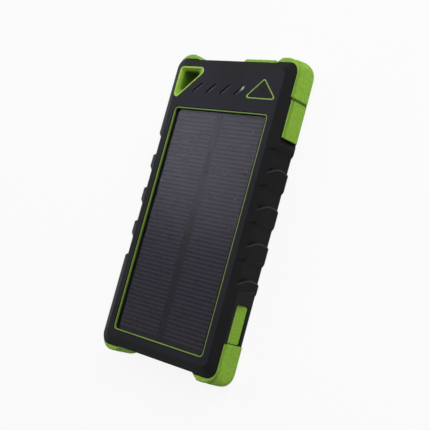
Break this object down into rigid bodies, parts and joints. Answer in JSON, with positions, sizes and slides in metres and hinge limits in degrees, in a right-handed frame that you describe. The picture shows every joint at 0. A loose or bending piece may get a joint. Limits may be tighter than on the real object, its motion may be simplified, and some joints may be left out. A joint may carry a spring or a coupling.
{
  "type": "solar phone charger",
  "caption": "Rugged solar power bank: bevelled case with a framed panel, rubber corner guards, hinged port flaps, triangular lanyard eyelet and power button.",
  "frame": {"origin": "centre of the flat back, in the plane it lies on", "axes": "+Z out of the solar face, +Y along the case towards the lanyard eyelet and the power button, +X to the side with the USB flap"},
  "size_m": [0.084, 0.1648, 0.0186],
  "materials": {
    "case_black": "fine matt moulding",
    "cover_black": "stippled moulding",
    "guard_green": "soft speckled matt rubber",
    "trim_green": "satin moulded trim",
    "button_black": "fine matt moulding",
    "cell_purple": "dark silicon under film, with fine fingers",
    "bus_dark": "dark strip between the cells",
    "clear_film": "clear laminate",
    "panel_board": "black panel board",
    "tape": "foam tape",
    "clear_pipe": "smoked light pipe",
    "led_white": "small light",
    "led_green": "small green light",
    "switch_body": "moulded switch",
    "plunger": "moulded plunger",
    "socket_steel": "folded plated sheet",
    "socket_insert": "moulded insert",
    "circuit_green": "solder mask",
    "ferrite": "moulded ferrite",
    "capacitor_can": "plain can",
    "chip_black": "moulded package",
    "connector_white": "moulded connector",
    "pouch_foil": "laminated foil",
    "nickel": "nickel strip",
    "wire": "insulated wire",
    "ribbon": "flat cable",
    "seal": "soft seal",
    "screw_steel": "zinc plated"
  },
  "bodies": {
    "case": {"front_housing": "case_black", "rear_cover": "cover_black", "lanyard_eyelet": "guard_green", "window_ring": "trim_green", "panel_tape": "tape", "solar_board": "panel_board", "solar_cell_left": "cell_purple", "solar_cell_right": "cell_purple", "bus_strip": "bus_dark", "panel_film": "clear_film", "button_surround": "trim_green", "tact_switch": "switch_body", "usb_shell_side": "socket_steel", "usb_tongue_side": "socket_insert", "usb_shell_end": "socket_steel", "usb_tongue_end": "socket_insert", "micro_usb_shell": "socket_steel", "micro_usb_tongue": "socket_insert", "main_board": "circuit_green", "charge_board": "circuit_green", "charge_ribbon": "ribbon", "boost_inductor": "ferrite", "capacitors": "capacitor_can", "controller_chip": "chip_black", "battery_connector": "connector_white", "battery_pouch": "pouch_foil", "battery_tape": "tape", "battery_pads": "tape", "guard_board": "circuit_green", "battery_tabs": "nickel", "battery_leads": "wire", "solar_leads": "wire", "case_seal": "seal", "case_screws": "screw_steel", "board_screws": "screw_steel", "corner_bumper_top_left": "guard_green", "corner_bumper_top_right": "guard_green", "corner_bumper_bottom_left": "guard_green", "corner_bumper_bottom_right": "guard_green", "light_pipe_1": "clear_pipe", "charge_led_1": "led_white", "light_pipe_2": "clear_pipe", "charge_led_2": "led_white", "light_pipe_3": "clear_pipe", "charge_led_3": "led_white", "light_pipe_4": "clear_pipe", "charge_led_4": "led_green"},
    "side_flap": {"side_port_flap": "guard_green"},
    "end_flap": {"end_port_flap": "guard_green"},
    "charge_flap": {"charge_port_flap": "guard_green"},
    "button": {"power_button": "button_black", "switch_plunger": "plunger"}
  },
  "joints": [
    {"name": "button_press", "type": "slide", "parent": "case", "child": "button", "axis": [0, 0, -1], "range_m": [0, 0.0005], "stiffness_N_per_m": 2000},
    {"name": "side_flap_hinge", "type": "hinge", "parent": "case", "child": "side_flap", "pos_m": [0.0414, 0.06215, 0.0075], "axis": [0, 0, 1], "range_deg": [0, 95], "stiffness_Nm_per_rad": 0.004},
    {"name": "end_flap_hinge", "type": "hinge", "parent": "case", "child": "end_flap", "pos_m": [0.0245, 0.07955, 0.00735], "axis": [0, 0, -1], "range_deg": [0, 90], "stiffness_Nm_per_rad": 0.004},
    {"name": "charge_flap_hinge", "type": "hinge", "parent": "case", "child": "charge_flap", "pos_m": [0.03925, -0.06075, 0.00765], "axis": [0, 0, -1], "range_deg": [0, 90], "stiffness_Nm_per_rad": 0.004}
  ]
}
